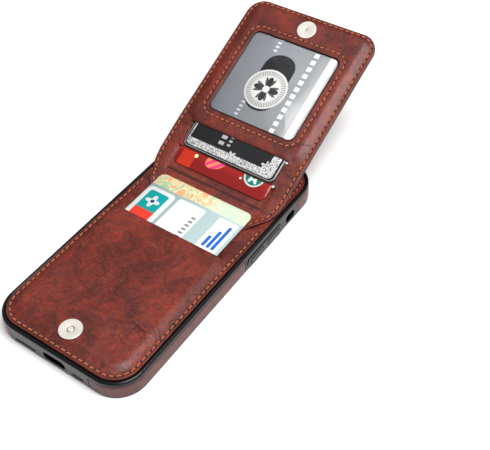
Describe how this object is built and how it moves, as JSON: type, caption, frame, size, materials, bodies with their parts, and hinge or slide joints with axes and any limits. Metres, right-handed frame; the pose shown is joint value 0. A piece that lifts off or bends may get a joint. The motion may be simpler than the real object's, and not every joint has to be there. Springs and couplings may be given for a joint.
{
  "type": "phone wallet case",
  "caption": "Leather phone wallet case lying open: soft black bumper, card pocket on the back and a hinged flap with card slots, clear window and magnetic snap.",
  "frame": {"origin": "on the surface the case lies on, at the middle of the case's open screen side", "axes": "+X to the right seen from the back, +Y towards the camera end, +Z out of the leather back"},
  "size_m": [0.0764, 0.2085, 0.0564],
  "materials": {
    "leather": "glossy waxed pull-up leather, red-brown with darker marbling",
    "thread": "twisted orange-brown thread",
    "bumper": "glossy black moulded TPU",
    "back_plate": "satin black polycarbonate",
    "lining_cloth": "black microfibre",
    "clear_film": "clear flexible film",
    "snap_metal": "polished nickel",
    "base_card_print": "pale printed card, laminated",
    "id_card_print": "grey printed card, laminated",
    "black_card_print": "black printed card, laminated",
    "red_card_print": "red printed card, laminated",
    "outer_card_print": "multicoloured printed card, laminated"
  },
  "bodies": {
    "case": {"tpu_bumper": "bumper", "camera_bezel": "bumper", "microfibre_lining": "lining_cloth", "hard_back_plate": "back_plate", "back_leather_panel": "leather", "lower_left_strip": "leather", "upper_left_strip": "leather", "lower_right_strip": "leather", "upper_right_strip": "leather", "pocket_front": "leather", "pocket_hem": "leather", "hinge_tab": "leather", "hinge_fold": "leather", "base_snap_disc": "snap_metal", "base_snap_boss": "snap_metal", "pocket_stitching": "thread", "back_panel_stitching": "thread", "tab_stitching": "thread"},
    "flap": {"flap_window_panel": "leather", "id_window_film": "clear_film", "slot_divider": "lining_cloth", "flap_lining": "lining_cloth", "flap_outer_leather": "leather", "outer_pocket_panel": "leather", "outer_overlay": "leather", "flap_hem": "leather", "outer_pocket_hem": "leather", "flap_snap_disc": "snap_metal", "flap_inner_stitching": "thread", "window_stitching": "thread", "outer_pocket_stitching": "thread", "overlay_stitching": "thread"},
    "base_card_body": {"base_card": "base_card_print"},
    "id_card_body": {"id_card": "id_card_print"},
    "black_card_body": {"black_card": "black_card_print"},
    "red_card_body": {"red_card": "red_card_print"},
    "outer_card_body": {"outer_card": "outer_card_print"},
    "volume_up_button_body": {"volume_up_button": "bumper"},
    "volume_down_button_body": {"volume_down_button": "bumper"},
    "power_button_body": {"power_button": "bumper"}
  },
  "joints": [
    {"name": "flap_hinge", "type": "hinge", "parent": "case", "child": "flap", "pos_m": [0, 0.034, 0.0138], "axis": [1, 0, 0], "range_deg": [-6, 156.3]},
    {"name": "base_card_slide", "type": "slide", "parent": "case", "child": "base_card_body", "axis": [0, -1, 0], "range_m": [0, 0.0045]},
    {"name": "id_card_slide", "type": "slide", "parent": "flap", "child": "id_card_body", "axis": [0, -0.9159, -0.4015], "range_m": [0, 0.012]},
    {"name": "black_card_slide", "type": "slide", "parent": "flap", "child": "black_card_body", "axis": [0, -0.9159, -0.4015], "range_m": [0, 0.0125]},
    {"name": "red_card_slide", "type": "slide", "parent": "flap", "child": "red_card_body", "axis": [0, -0.9159, -0.4015], "range_m": [-0.009, 0.003]},
    {"name": "outer_card_slide", "type": "slide", "parent": "flap", "child": "outer_card_body", "axis": [0, 0.9159, 0.4015], "range_m": [0, 0.0105]},
    {"name": "volume_up_press", "type": "slide", "parent": "case", "child": "volume_up_button_body", "axis": [-1, 0, 0], "range_m": [0, 0.0003], "stiffness_N_per_m": 2500},
    {"name": "volume_down_press", "type": "slide", "parent": "case", "child": "volume_down_button_body", "axis": [-1, 0, 0], "range_m": [0, 0.0003], "stiffness_N_per_m": 2500},
    {"name": "power_press", "type": "slide", "parent": "case", "child": "power_button_body", "axis": [1, 0, 0], "range_m": [0, 0.0003], "stiffness_N_per_m": 2500}
  ]
}
